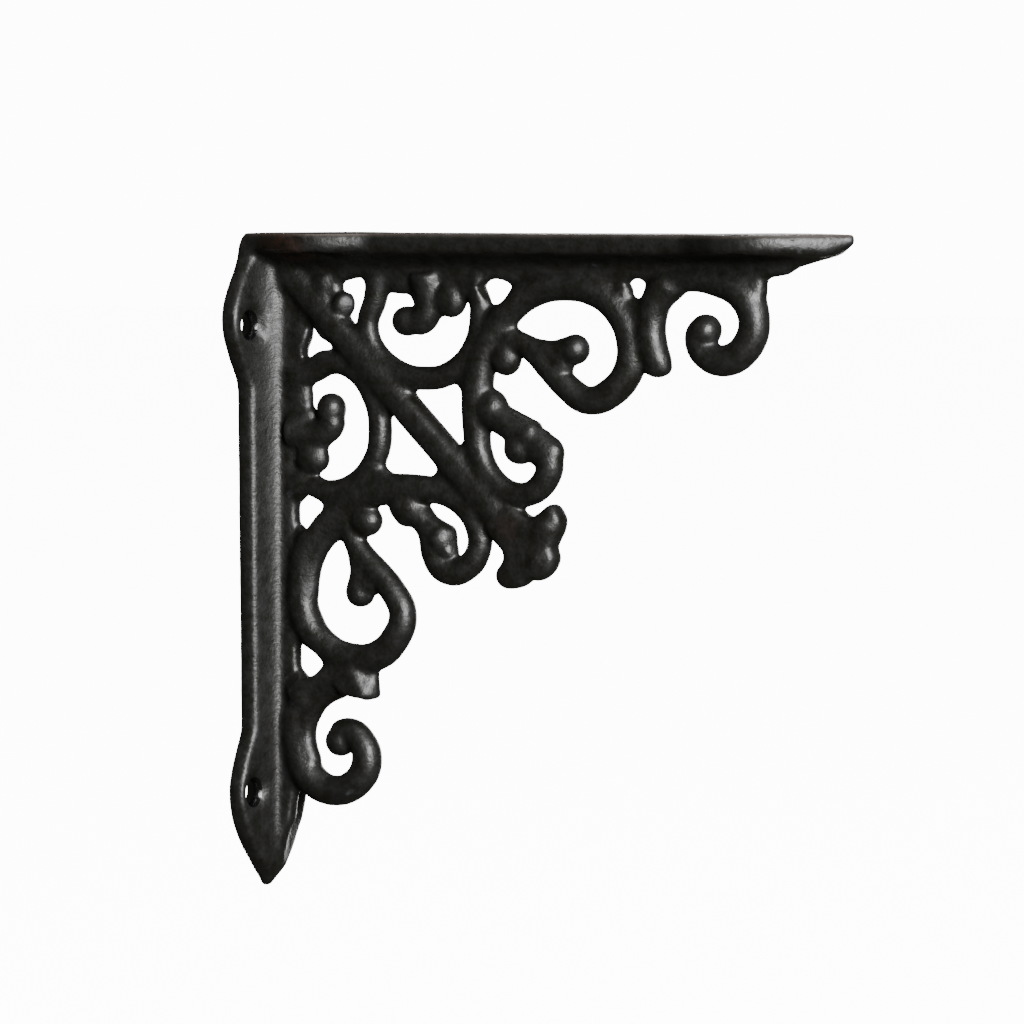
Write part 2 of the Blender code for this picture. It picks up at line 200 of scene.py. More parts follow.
class Bench:
    """The few operators that every piece is modelled with."""

    @staticmethod
    def clear() -> None:
        """Leave edit mode and select nothing."""
        if bpy.context.object and bpy.context.object.mode != "OBJECT":
            bpy.ops.object.mode_set(mode="OBJECT")
        bpy.ops.object.select_all(action="DESELECT")

    @staticmethod
    def pick(*pieces: bpy.types.Object) -> None:
        """Select the given pieces alone and make the first one active."""
        Bench.clear()
        for piece in pieces:
            piece.select_set(True)
        bpy.context.view_layer.objects.active = pieces[0]

    @staticmethod
    def settle(piece: bpy.types.Object) -> bpy.types.Object:
        """Put a piece's place, turn and scale into its mesh."""
        Bench.pick(piece)
        bpy.ops.object.transform_apply(location=True, rotation=True, scale=True)
        return piece

    @staticmethod
    def join(pieces: list[bpy.types.Object], name: str) -> bpy.types.Object:
        """Join pieces into one object of the given name."""
        Bench.pick(*pieces)
        bpy.ops.object.join()
        joined = bpy.context.object
        joined.name = name
        joined.data.name = name
        return joined

    @staticmethod
    def apply(piece: bpy.types.Object, kind: str, **settings: object) -> None:
        """Add one modifier with the given settings and apply it.

        Args:
            piece: The piece that gets it.
            kind: The modifier's type.
            **settings: Values for the modifier's own fields.
        """
        Bench.pick(piece)
        modifier = piece.modifiers.new(kind.lower(), kind)
        for field_name, value in settings.items():
            setattr(modifier, field_name, value)
        bpy.ops.object.modifier_apply(modifier=modifier.name)

    @staticmethod
    @contextmanager
    def edit(piece: bpy.types.Object) -> Iterator[None]:
        """Work on a piece in edit mode, with all its faces selected."""
        Bench.pick(piece)
        bpy.ops.object.mode_set(mode="EDIT")
        bpy.ops.mesh.select_all(action="SELECT")
        yield
        bpy.ops.object.mode_set(mode="OBJECT")

    @staticmethod
    def face_outwards(piece: bpy.types.Object) -> None:
        """Turn all the faces of a closed piece outwards."""
        with Bench.edit(piece):
            bpy.ops.mesh.normals_make_consistent(inside=False)

    @staticmethod
    def convert(curve: bpy.types.Curve) -> bpy.types.Object:
        """Turn a curve into a mesh object of the same name."""
        drawn = bpy.data.objects.new(curve.name, curve)
        bpy.context.scene.collection.objects.link(drawn)
        Bench.pick(drawn)
        bpy.ops.object.convert(target="MESH")
        return bpy.context.object

    @staticmethod
    def cut(piece: bpy.types.Object, cutter: bpy.types.Object) -> None:
        """Cut a closed shape out of a piece and throw the cutter away."""
        Bench.apply(piece, "BOOLEAN", operation="DIFFERENCE", solver="EXACT", object=cutter)
        bpy.data.objects.remove(cutter, do_unlink=True)


@dataclass
class Plate:
    """A flat plate with two pairs of ears for screws and a leaf point.

    Every length is in millimetres. The inner face is the one that rises towards the web.
    """

    length: float = 120.0
    edge: float = 3.2
    root_half: float = 1.5
    root_levels: Outline = (
        (0.0, 6.5), (18.0, 6.5), (34.0, 5.9), (55.0, 5.6), (86.0, 5.1), (110.0, 4.2), (120.0, 3.2),
    )
    strap_half: float = 7.0
    corner_half: float = 6.6
    corner_round: float = 4.0
    inner_ear_at: float = 15.6
    inner_ear_half: float = 12.3
    inner_ear_rise: float = 11.0
    inner_ear_fall: float = 12.4
    outer_ear_at: float = 102.0
    outer_ear_half: float = 11.4
    outer_ear_rise: float = 12.0
    ear_curve: float = 1.3
    tip_curve: float = 1.05
    tip_half: float = 0.7
    tip_taper: float = 4.0
    tip_thickness: float = 1.7
    edge_round: float = 0.9
    back_round: float = 0.6
    hollow: float = 0.5
    hole_across: float = 7.5
    inner_hole_at: float = 16.6
    outer_hole_at: float = 101.8
    hole_radius: float = 2.5
    hole_sides: int = 32
    drill_length: float = 12.0
    drill_middle: float = 2.0
    sink_low_radius: float = 2.45
    sink_high_radius: float = 4.8
    sink_length: float = 1.8
    sink_lift: float = 0.2
    columns: int = 220
    rows: int = 44

    def half_width(self, along: float) -> float:
        """Half the width of the plate at a place along it."""
        if along > self.outer_ear_at:
            turn = (along - self.outer_ear_at) / (self.length - self.outer_ear_at) * math.pi / 2
            return max(self.outer_ear_half * max(math.cos(turn), 0.0) ** self.tip_curve, self.tip_half)

        def bump(centre: float, rise: float, fall: float) -> float:
            reach = rise if along < centre else fall
            turn = min(abs(along - centre) / reach, 1.0) * math.pi / 2
            return max(math.cos(turn), 0.0) ** self.ear_curve

        strap = self.corner_half if along < self.inner_ear_at - self.inner_ear_rise else self.strap_half
        if along < self.corner_round:
            strap -= self.corner_round - math.sqrt(self.corner_round**2 - (self.corner_round - along) ** 2)
        inner = bump(self.inner_ear_at, self.inner_ear_rise, self.inner_ear_fall)
        outer = bump(self.outer_ear_at, self.outer_ear_rise, self.outer_ear_rise)
        inner_gain = (self.inner_ear_half - self.strap_half) * inner
        return strap + inner_gain + (self.outer_ear_half - self.strap_half) * outer

    def height(self, along: float, across: float) -> float:
        """Height of the inner face above the outer one, which rises towards the web."""
        root = self.edge
        for (start, low), (end, high) in zip(self.root_levels, self.root_levels[1:]):
            if start <= along <= end:
                root = low + (high - low) * (along - start) / (end - start)
        rise = 1.0 - ramp(abs(across), self.root_half, self.strap_half)
        level = self.edge + (root - self.edge) * ((1.0 - self.hollow) * rise + self.hollow * rise**3)
        taper = max(along - self.length + self.tip_taper, 0.0) / self.tip_taper
        level -= taper * (self.edge - self.tip_thickness)
        return level - self.rounding(along, across, self.edge_round)

    def rounding(self, along: float, across: float, radius: float) -> float:
        """How far a rounded edge of the given radius falls below its face."""
        inset = min(self.half_width(along) - abs(across), radius)
        return radius - math.sqrt(max(radius**2 - (radius - inset) ** 2, 0.0))

    def build(self, arm: Arm) -> bpy.types.Object:
        """Shape a grid into the plate of one arm, thicken it and cut its holes."""
        Bench.clear()
        bpy.ops.mesh.primitive_grid_add(x_subdivisions=self.columns, y_subdivisions=self.rows, size=1.0)
        plate = bpy.context.object
        plate.name = arm.value + "_plate"
        for vertex in plate.data.vertices:
            along = (vertex.co.x + 0.5) * self.length
            across = math.sin(vertex.co.y * math.pi) * self.half_width(along)
            vertex.co = arm.place(along, self.height(along, across), across)
        with Bench.edit(plate):
            bpy.ops.mesh.extrude_region_move()
        for vertex in plate.data.vertices:
            if vertex.select:
                along = SHELF_TOP - vertex.co.z / MM if arm is Arm.WALL else vertex.co.x / MM
                along = max(along, 0.0)
                across = vertex.co.y / MM
                vertex.co = arm.place(along, self.rounding(along, across, self.back_round), across)
        Bench.face_outwards(plate)
        self.drill(plate, arm)
        return plate

    def drill(self, plate: bpy.types.Object, arm: Arm) -> None:
        """Cut the countersunk screw holes of one plate."""
        turn = (0.0, math.pi / 2, 0.0) if arm is Arm.WALL else (math.pi, 0.0, 0.0)
        for along in (self.inner_hole_at, self.outer_hole_at):
            for across in (-self.hole_across, self.hole_across):
                Bench.clear()
                bpy.ops.mesh.primitive_cylinder_add(
                    vertices=self.hole_sides, radius=self.hole_radius * MM, depth=self.drill_length * MM,
                    location=arm.place(along, self.drill_middle, across), rotation=turn)
                Bench.cut(plate, Bench.settle(bpy.context.object))
                Bench.clear()
                bpy.ops.mesh.primitive_cone_add(
                    vertices=self.hole_sides, radius1=self.sink_low_radius * MM,
                    radius2=self.sink_high_radius * MM, depth=self.sink_length * MM,
                    location=arm.place(along, self.edge + self.sink_lift, across), rotation=turn)
                Bench.cut(plate, Bench.settle(bpy.context.object))


@dataclass
class Web:
    """The rails, the scrolls and their beads between the two plates, in millimetres."""

    rail_half: float = 1.35
    rail_round: float = 0.55
    gusset_start: float = 1.6
    gusset_reach: float = 15.6
    gusset_bevel: float = 2.0
    gusset_nose: float = 0.6
    gusset_half: float = 1.2
    bar_start: float = 4.0
    bar_end: float = 72.0
    bar_low: float = 2.2
    bar_high: float = 2.6
    bar_depth: float = 2.5
    bar_round: float = 1.6
    leaf_depth: float = 2.2
    leaf_round: float = 1.4
    wedge_depth: float = 2.7
    wedge_round: float = 0.3
    wedge_voxel: float = 0.3
    wedge_edge: float = 0.6
    weld: float = 0.01
    rod_bevel_steps: int = 5
    rod_steps: int = 10
    slab_bevel_steps: int = 3
    slab_steps: int = 6
    bead_segments: int = 28
    bead_rings: int = 18
    ring_segments: int = 48
    ring_sides: int = 12
    fillets: tuple[Bead, ...] = (
        Bead(31.0, 8.2, 5.2, 2.7, 1.5), Bead(44.8, 9.4, 2.2, 2.6, 1.5), Bead(49.4, 15.4, 1.8, 2.0, 1.6),
        Bead(44.6, 26.4, 2.2, 2.0, 1.7), Bead(43.4, 39.2, 1.2, 1.5, 1.6), Bead(31.4, 27.6, 1.6, 1.1, 1.5),
    )
    arm_fillets: dict[Arm, tuple[Bead, ...]] = field(default_factory=lambda: {
        Arm.WALL: (
            Bead(19.5, 9.6, 4.8, 2.2, 1.5), Bead(19.8, 12.8, 3.3, 3.3, 1.6), Bead(33.4, 10.6, 2.0, 2.1, 1.6),
            Bead(29.8, 9.4, 3.4, 2.3, 1.6), Bead(51.4, 15.6, 2.0, 2.2, 1.7), Bead(45.8, 12.6, 1.3, 2.4, 1.5),
        ),
        Arm.SHELF: (
            Bead(16.6, 10.2, 1.5, 2.4, 1.6), Bead(35.0, 11.4, 1.9, 1.7, 1.6), Bead(78.2, 14.0, 2.0, 2.6, 1.6),
            Bead(101.8, 9.2, 1.5, 3.4, 1.7), Bead(75.8, 10.4, 1.5, 2.0, 1.6),
        ),
    })
    arm_gaps: dict[Arm, tuple[Outline, ...]] = field(default_factory=lambda: {
        Arm.WALL: (
            ((48.0, 9.8), (54.2, 9.8), (54.2, 10.7), (51.4, 13.6), (49.9, 14.7), (48.3, 13.1)),
            ((75.4, 9.8), (81.2, 9.8), (81.2, 10.8), (79.1, 13.9), (78.1, 14.1), (75.6, 11.4)),
            ((17.0, 12.1), (18.7, 14.2), (20.7, 16.4), (21.6, 13.8), (22.7, 10.7), (22.0, 10.3),
             (19.2, 11.1)),
        ),
        Arm.SHELF: (
            ((47.4, 9.1), (53.6, 9.2), (53.5, 10.3), (50.9, 12.7), (49.4, 12.5), (47.8, 10.8)),
            ((76.5, 8.5), (80.5, 8.5), (80.2, 9.6), (78.9, 10.9), (77.9, 10.9), (76.9, 9.5)),
            ((18.3, 10.2), (19.2, 8.6), (21.0, 8.0), (22.9, 8.1), (23.5, 9.2), (22.6, 12.0),
             (21.8, 15.2), (20.9, 16.6), (19.9, 16.2), (20.8, 13.6), (20.3, 10.8)),
        ),
    })
    gap_depth: float = 3.4
    gap_flare: float = 0.20
    beads: tuple[Bead, ...] = (
        Bead(31.9, 15.8, 2.7, 2.5, 2.6), Bead(41.0, 11.7, 2.7, 3.2, 2.2), Bead(38.2, 11.4, 2.4, 3.6, 1.7),
        Bead(63.4, 22.9, 2.0, 2.2, 1.9), Bead(49.2, 31.4, 2.8, 3.5, 2.8), Bead(54.8, 38.2, 2.8, 2.6, 2.8),
        Bead(52.0, 22.2, 2.7, 2.9, 2.3),
    )
    arm_beads: dict[Arm, tuple[Bead, ...]] = field(default_factory=lambda: {
        Arm.WALL: (
            Bead(53.2, 36.4, 2.0, 2.2, 2.4), Bead(57.0, 39.8, 1.6, 1.5, 2.0), Bead(51.0, 31.0, 1.7, 2.3, 2.0),
            Bead(65.4, 20.8, 2.2, 2.3, 2.5), Bead(92.0, 16.8, 2.6, 2.6, 2.8),
        ),
        Arm.SHELF: (
            Bead(58.6, 37.8, 2.9, 3.2, 2.3), Bead(60.4, 38.9, 2.9, 3.0, 2.2), Bead(66.0, 20.4, 2.4, 2.5, 2.5),
            Bead(82.3, 23.3, 2.5, 1.6, 1.9), Bead(91.7, 16.7, 2.6, 2.6, 2.8),
        ),
    })
    boss: Bead = Bead(18.4, 12.8, 1.9, 1.9, 1.9)
    ringed: Bead = Bead(54.8, 38.2, 2.8, 2.6, 2.8)
    ring_lift: float = 0.66
    ring_thickness: float = 0.42

    def rod(self, arm: Arm, title: str, stroke: Stroke) -> bpy.types.Object:
        """Sweep a round rod along a stroke, with the half width that each point gives."""
        curve = bpy.data.curves.new(f"{arm.value}_{title}", "CURVE")
        curve.dimensions = "3D"
        curve.bevel_depth = MM
        curve.bevel_resolution = self.rod_bevel_steps
        curve.use_fill_caps = True
        curve.resolution_u = self.rod_steps
        spline = curve.splines.new("BEZIER")
        spline.bezier_points.add(len(stroke) - 1)
        for point, (along, out, half) in zip(spline.bezier_points, stroke):
            point.co = arm.place(along, out)
            point.radius = half
            point.handle_left_type = "AUTO"
            point.handle_right_type = "AUTO"
        rod = Bench.convert(curve)
        Bench.face_outwards(rod)
        return rod

    def bead(self, arm: Arm, title: str, bead: Bead) -> bpy.types.Object:
        """Place one bead as a ball scaled to its three sizes."""
        Bench.clear()
        bpy.ops.mesh.primitive_uv_sphere_add(
            segments=self.bead_segments, ring_count=self.bead_rings, radius=MM,
            location=arm.place(bead.along, bead.out))
        ball = bpy.context.object
        ball.name = f"{arm.value}_{title}"
        if arm is Arm.WALL:
            ball.scale = (bead.rise, bead.depth, bead.reach)
        else:
            ball.scale = (bead.reach, bead.depth, bead.rise)
        return Bench.settle(ball)

    def rings(self, arm: Arm, title: str, bead: Bead) -> list[bpy.types.Object]:
        """Lay a thin ring around the cap of a bead, on each side of the web."""
        lift = bead.depth * self.ring_lift
        reach = math.sqrt(bead.rise**2 - lift**2)
        middle = arm.place(bead.along, bead.out)
        rings = []
        for side in (-1.0, 1.0):
            axis = Vector((1.0, side, 0.0)).normalized()
            Bench.clear()
            bpy.ops.mesh.primitive_torus_add(
                major_segments=self.ring_segments, minor_segments=self.ring_sides,
                major_radius=reach * MM, minor_radius=self.ring_thickness * MM,
                location=middle + axis * lift * MM, rotation=axis.to_track_quat("Z", "Y").to_euler())
            ring = bpy.context.object
            ring.name = f"{arm.value}_{title}"
            rings.append(Bench.settle(ring))
        return rings

    def slab(self, arm: Arm, title: str, outline: Outline, half: float, edge: float,
             smooth: bool = False) -> bpy.types.Object:
        """Cut a slab to an outline in the flat of an arm.

        Args:
            arm: The arm whose flat the outline is drawn in.
            title: The slab's own name.
            outline: Its corners, in millimetres.
            half: Half its thickness.
            edge: The radius of its rounded edges.
            smooth: Whether a smooth curve runs through the corners.

        Returns:
            The closed slab.
        """
        curve = bpy.data.curves.new(f"{arm.value}_{title}", "CURVE")
        curve.dimensions = "2D"
        curve.fill_mode = "BOTH"
        curve.extrude = (half - edge) * MM
        curve.bevel_depth = edge * MM
        curve.bevel_resolution = self.slab_bevel_steps
        curve.offset = -edge * MM
        curve.resolution_u = self.slab_steps
        spline = curve.splines.new("BEZIER" if smooth else "POLY")
        points = spline.bezier_points if smooth else spline.points
        points.add(len(outline) - 1)
        for point, (along, out) in zip(points, outline):
            if smooth:
                point.co = (along * MM, out * MM, 0.0)
                point.handle_left_type = "AUTO"
                point.handle_right_type = "AUTO"
            else:
                point.co = (along * MM, out * MM, 0.0, 1.0)
        spline.use_cyclic_u = True
        slab = Bench.convert(curve)
        for vertex in slab.data.vertices:
            vertex.co = arm.place(vertex.co.x / MM, vertex.co.y / MM, vertex.co.z / MM)
        with Bench.edit(slab):
            bpy.ops.mesh.remove_doubles(threshold=self.weld * MM)
        Bench.face_outwards(slab)
        return slab

    @staticmethod
    def diagonal(reach: float, side: float) -> tuple[float, float]:
        """Turn a place measured along the diagonal bar into one in the flat."""
        return (reach + side) / math.sqrt(2.0), (reach - side) / math.sqrt(2.0)

    def build_scrolls(self, arm: Arm) -> list[bpy.types.Object]:
        """Model the rail and the long scrolls of one arm, which melt together at their feet."""
        pieces = [self.slab(arm, "rail", RAIL, self.rail_half, self.rail_round)]
        strokes = {"ring": RING, "long": LONG_SCROLL, "tongue": TONGUE, "end": END_SCROLL}
        if arm is Arm.WALL:
            strokes |= {"hood": WALL_HOOD, "sweep": WALL_SWEEP}
        for title, stroke in strokes.items():
            pieces.append(self.rod(arm, title, stroke))
        for count, bead in enumerate((*self.fillets, *self.arm_fillets[arm])):
            pieces.append(self.bead(arm, f"fillet_{count}", bead))
        return pieces

    def build_buds(self, arm: Arm) -> list[bpy.types.Object]:
        """Model the commas, clasps, tips and beads of one arm."""
        pieces = []
        if arm is Arm.WALL:
            pieces.append(self.build_wedge())
            pieces += self.rings(arm, "link_ring", self.ringed)
        strokes = {"comma": COMMA, "clasp": CLASP, "link": WALL_LINK if arm is Arm.WALL else SHELF_LINK}
        for title, stroke in strokes.items():
            pieces.append(self.rod(arm, title, stroke))
        for count, bead in enumerate((*self.beads, *self.arm_beads[arm])):
            pieces.append(self.bead(arm, f"bead_{count}", bead))
        return pieces

    def build_wedge(self) -> bpy.types.Object:
        """Model the wedge that ends the tongue of the wall arm, thin at its outer edge."""
        wedge = self.slab(Arm.WALL, "tongue_tip", TONGUE_TIP, self.wedge_depth, self.wedge_round)
        Bench.apply(wedge, "REMESH", mode="VOXEL", voxel_size=self.wedge_voxel * MM, use_smooth_shade=True)
        (high, start), (low, end) = TONGUE_RIDGE
        edge = max(out for _, out in TONGUE_TIP) + self.wedge_edge
        for vertex in wedge.data.vertices:
            along = SHELF_TOP - vertex.co.z / MM
            ridge = start + (end - start) * ramp(along, high, low)
            vertex.co.y *= 1.0 - ramp(vertex.co.x / MM - Arm.lean(along, ridge), ridge, edge)
        return wedge

    def build_gaps(self, arm: Arm) -> list[bpy.types.Object]:
        """Model cutters for the small gaps of one arm, wider at both faces than in the middle."""
        cutters = []
        for count, outline in enumerate(self.arm_gaps[arm]):
            cutter = self.slab(arm, f"gap_{count}", outline, self.gap_depth, 0.0, smooth=True)
            with Bench.edit(cutter):
                bpy.ops.mesh.bisect(plane_co=(0.0, 0.0, 0.0), plane_no=(0.0, 1.0, 0.0))
            middle = sum((vertex.co for vertex in cutter.data.vertices), Vector()) / len(cutter.data.vertices)
            for vertex in cutter.data.vertices:
                if abs(vertex.co.y) > MM:
                    vertex.co.x = middle.x + (vertex.co.x - middle.x) * (1.0 + self.gap_flare)
                    vertex.co.z = middle.z + (vertex.co.z - middle.z) * (1.0 + self.gap_flare)
            cutters.append(cutter)
        return cutters

    def build_bar(self) -> list[bpy.types.Object]:
        """Model the bar and the corner gusset."""
        start, end, low, high = self.bar_start, self.bar_end, -self.bar_low, self.bar_high
        bar = tuple(self.diagonal(reach, side) for reach, side in
                    ((start, low), (start, high), (end, high), (end, low)))
        near, far, bevel = self.gusset_start, self.gusset_reach, self.gusset_bevel
        nose = far + self.gusset_nose
        gusset = ((near, near), (far - bevel, near), (far, near + bevel), (nose, nose),
                  (near + bevel, far), (near, far - bevel))
        return [self.slab(Arm.SHELF, "bar", bar, self.bar_depth, self.bar_round),
                self.slab(Arm.SHELF, "gusset", gusset, self.gusset_half, self.rail_round)]

    def build_leaves(self) -> list[bpy.types.Object]:
        """Model the trefoil at the end of the bar, and the twig and boss by the gusset."""
        pieces = [self.slab(Arm.SHELF, "trefoil", TREFOIL, self.leaf_depth, self.leaf_round, smooth=True),
                  self.bead(Arm.SHELF, "boss", self.boss), self.rod(Arm.SHELF, "twig", TWIG)]
        pieces += self.rings(Arm.SHELF, "boss_ring", self.boss)
        leaves = {"leaf_high": LEAF_HIGH, "leaf_middle": LEAF_MIDDLE, "leaf_low": LEAF_LOW}
        for title, stroke in leaves.items():
            pieces.append(self.rod(Arm.SHELF, title, stroke))
        return pieces


class Shade:
    """A shader value that can be added, multiplied and compared as a number is."""

    def __init__(self, nodes: "Nodes", socket: bpy.types.NodeSocket) -> None:
        """Wrap one output socket of a node tree."""
        self.nodes = nodes
        self.socket = socket

    def _join(self, operation: str, first: object, second: object) -> "Shade":
        """Add one Math node over two values."""
        return self.nodes.make("ShaderNodeMath", {"operation": operation}, {0: first, 1: second})

    def __add__(self, other: object) -> "Shade":
        """Sum with another value."""
        return self._join("ADD", self, other)

    def __radd__(self, other: object) -> "Shade":
        """Sum with a number on the left."""
        return self._join("ADD", other, self)

    def __sub__(self, other: object) -> "Shade":
        """Difference from another value."""
        return self._join("SUBTRACT", self, other)

    def __rsub__(self, other: object) -> "Shade":
        """Difference from a number on the left."""
        return self._join("SUBTRACT", other, self)

    def __mul__(self, other: object) -> "Shade":
        """Product with another value."""
        return self._join("MULTIPLY", self, other)

    def __rmul__(self, other: object) -> "Shade":
        """Product with a number on the left."""
        return self._join("MULTIPLY", other, self)

    def __gt__(self, other: object) -> "Shade":
        """One where this value is above the other, else nothing."""
        return self._join("GREATER_THAN", self, other)


class Nodes:
    """Builds the nodes of one material."""

    def __init__(self, name: str) -> None:
        """Start a material that holds only a Principled shader."""
        self.material = bpy.data.materials.new(name)
        self.material.use_nodes = True
        self.tree = self.material.node_tree
        self.shader = self.tree.nodes["Principled BSDF"]

    def make(self, kind: str, settings: dict[str, object], inputs: dict[object, object],
             output: object = 0) -> Shade:
        """Add a node of any type.

        Args:
            kind: The node's type.
            settings: Values for the node's own fields, set first. A pair of stops sets a ramp.
            inputs: Values or shades for its sockets, by name or number.
            output: The output that the result carries.

        Returns:
            The wrapped output.
        """
        node = self.tree.nodes.new(kind)
        for field_name, value in settings.items():
            if field_name == "stops":
                self._set_ramp(node, value)
            else:
                setattr(node, field_name, value)
        for key, value in inputs.items():
            self.feed(node.inputs[key], value)
        return Shade(self, node.outputs[output])

    def _set_ramp(self, node: bpy.types.Node, stops: list[tuple[float, float]]) -> None:
        """Set the two stops of a grey ramp as pairs of place and level."""
        for element, (place, level) in zip(node.color_ramp.elements, stops):
            element.position = place
            element.color = (level, level, level, 1.0)

    def feed(self, socket: bpy.types.NodeSocket, value: object) -> None:
        """Link a shade to a socket, or set a plain value on it."""
        if isinstance(value, Shade):
            self.tree.links.new(value.socket, socket)
        else:
            socket.default_value = value

    def blend(self, mask: object, first: object, second: object) -> Shade:
        """Mix two colours by a mask, through the Mix node's colour sockets."""
        return self.make("ShaderNodeMix", {"data_type": "RGBA"}, {0: mask, 6: first, 7: second}, 2)

    def axis(self, vector: Shade, name: str) -> Shade:
        """Take one axis of a vector."""
        return self.make("ShaderNodeSeparateXYZ", {}, {"Vector": vector}, name)

    def noise(self, place: Shade, scale: float, detail: float, roughness: float) -> Shade:
        """Noise at a scale given in cycles a metre."""
        inputs = {"Vector": place, "Scale": scale, "Detail": detail, "Roughness": roughness}
        return self.make("ShaderNodeTexNoise", {}, inputs)

    def ramp(self, value: Shade, low: float, high: float) -> Shade:
        """Spread the span from low to high over nothing to one."""
        return self.make("ShaderNodeValToRGB", {"stops": [(low, 0.0), (high, 1.0)]}, {"Fac": value})


@dataclass(frozen=True)
class Stain:
    """A round patch of rust, with its middle and its reach in metres."""

    middle: Place
    reach: float
    strength: float


@dataclass(frozen=True)
class SandCastIron:
    """Near-black iron as it leaves a sand mould, under a thin satin coat.

    Each noise is a scale in cycles a metre, its detail and its roughness. Each span is the low
    and the high end of what a mask takes in. Each bump is its strength and its depth. Lengths
    and places are in metres.
    """

    dark: Colour = (0.0046, 0.0044, 0.0031, 1.0)
    pale: Colour = (0.011, 0.011, 0.0113, 1.0)
    worn: Colour = (0.050, 0.052, 0.057, 1.0)
    # brown: the top face's own brown tint, made pale enough to serve partly as a painted highlight of the
    # light falling on the upturned top.
    brown_and_top_light: Colour = (0.085, 0.066, 0.057, 1.0)
    rust: Colour = (0.045, 0.016, 0.009, 1.0)
    # hollow: painted shade, the near-black colour laid on the walls of the screw holes.
    hollow: Colour = (0.002, 0.002, 0.002, 1.0)
    metallic: float = 0.15
    roughness: float = 0.35
    rougher: float = 0.15
    smoother_holes: float = 0.55
    grain: Noise = (1500.0, 3.0, 0.6)
    lumps: Noise = (420.0, 4.0, 0.6)
    patches: Noise = (70.0, 3.0, 0.5)
    mottle_span: Span = (0.40, 0.64)
    edge_span: Span = (0.52, 0.60)
    edge_lumps_span: Span = (0.35, 0.65)
    edge_strength: float = 0.6
    top_depth: float = 0.0022
    top_tilt_span: Span = (0.2, 0.9)
    top_patches_span: Span = (0.35, 0.7)
    top_least: float = 0.45
    top_strength: float = 0.8
    stain_span: Span = (0.0, 0.6)
    stain_lumps_span: Span = (0.30, 0.60)
    gloss_span: Span = (0.3, 0.7)
    fine_bump: Span = (0.45, 0.00020)
    coarse_bump: Span = (0.32, 0.00026)
    hole_reach: float = 0.0028
    stains: tuple[Stain, ...] = (
        Stain((0.0115, -0.009, 0.0148), 0.0075, 0.65),
        Stain((0.0535, -0.0025, -0.0355), 0.0032, 0.14),
    )

    def make(self) -> bpy.types.Material:
        """Build the material."""
        nodes = Nodes("sand_cast_iron")
        place = nodes.make("ShaderNodeTexCoord", {}, {}, "Object")
        grain = nodes.noise(place, *self.grain)
        lumps = nodes.noise(place, *self.lumps)
        skin = self.mottle(nodes, grain, lumps)
        # Partly painted light: up-facing faces at the top of the shelf plate get a paler brown, both for
        # their tint and for the light from above.
        skin = nodes.blend(self.painted_top_light_and_tint(nodes, place), skin, self.brown_and_top_light)
        for stain in self.stains:
            ends = {0: place, 1: stain.middle}
            far = nodes.make("ShaderNodeVectorMath", {"operation": "DISTANCE"}, ends, "Value")
            rusty = nodes.ramp(1.0 - far * (1.0 / stain.reach), *self.stain_span)
            rusty = rusty * nodes.ramp(lumps, *self.stain_lumps_span)
            skin = nodes.blend(rusty * stain.strength, skin, self.rust)
        # Painted shade: the walls of the screw holes are coloured near black, as the shade inside them.
        hole_shade = self.painted_hole_shade(nodes, place)
        skin = nodes.blend(hole_shade, skin, self.hollow)
        rough = self.roughness + self.rougher * nodes.ramp(lumps, *self.gloss_span)
        nodes.feed(nodes.shader.inputs["Base Color"], skin)
        nodes.feed(nodes.shader.inputs["Metallic"], self.metallic * (1.0 - hole_shade))
        nodes.feed(nodes.shader.inputs["Roughness"], rough * (1.0 - self.smoother_holes * hole_shade))
        bump = dict(zip(("Strength", "Distance"), self.fine_bump))
        fine = nodes.make("ShaderNodeBump", {}, bump | {"Height": grain})
        bump = dict(zip(("Strength", "Distance"), self.coarse_bump))
        coarse = nodes.make("ShaderNodeBump", {}, bump | {"Height": lumps, "Normal": fine})
        nodes.feed(nodes.shader.inputs["Normal"], coarse)
        return nodes.material

    def mottle(self, nodes: Nodes, grain: Shade, lumps: Shade) -> Shade:
        """The black coat, paler where it is thin and worn along the sharp edges."""
        edges = nodes.make("ShaderNodeNewGeometry", {}, {}, "Pointiness")
        worn = nodes.ramp(edges, *self.edge_span) * nodes.ramp(lumps, *self.edge_lumps_span)
        mottled = nodes.ramp(grain * 0.5 + lumps * 0.5, *self.mottle_span)
        skin = nodes.blend(mottled, self.dark, self.pale)
        return nodes.blend(worn * self.edge_strength, skin, self.worn)

    def painted_top_light_and_tint(self, nodes: Nodes, place: Shade) -> Shade:
        """How strongly the upper face of the shelf plate takes its brown colour, in patches: partly its own
        brown tint, partly a painted highlight where the top faces up to the light.
        """
        normal = nodes.make("ShaderNodeNewGeometry", {}, {}, "Normal")
        facing_up = nodes.ramp(nodes.axis(normal, "Z"), *self.top_tilt_span)
        near_top = nodes.axis(place, "Z") > SHELF_TOP * MM - self.top_depth
        patches = nodes.ramp(nodes.noise(place, *self.patches), *self.top_patches_span)
        patchy = self.top_least + (1.0 - self.top_least) * patches
        return near_top * facing_up * patchy * self.top_strength

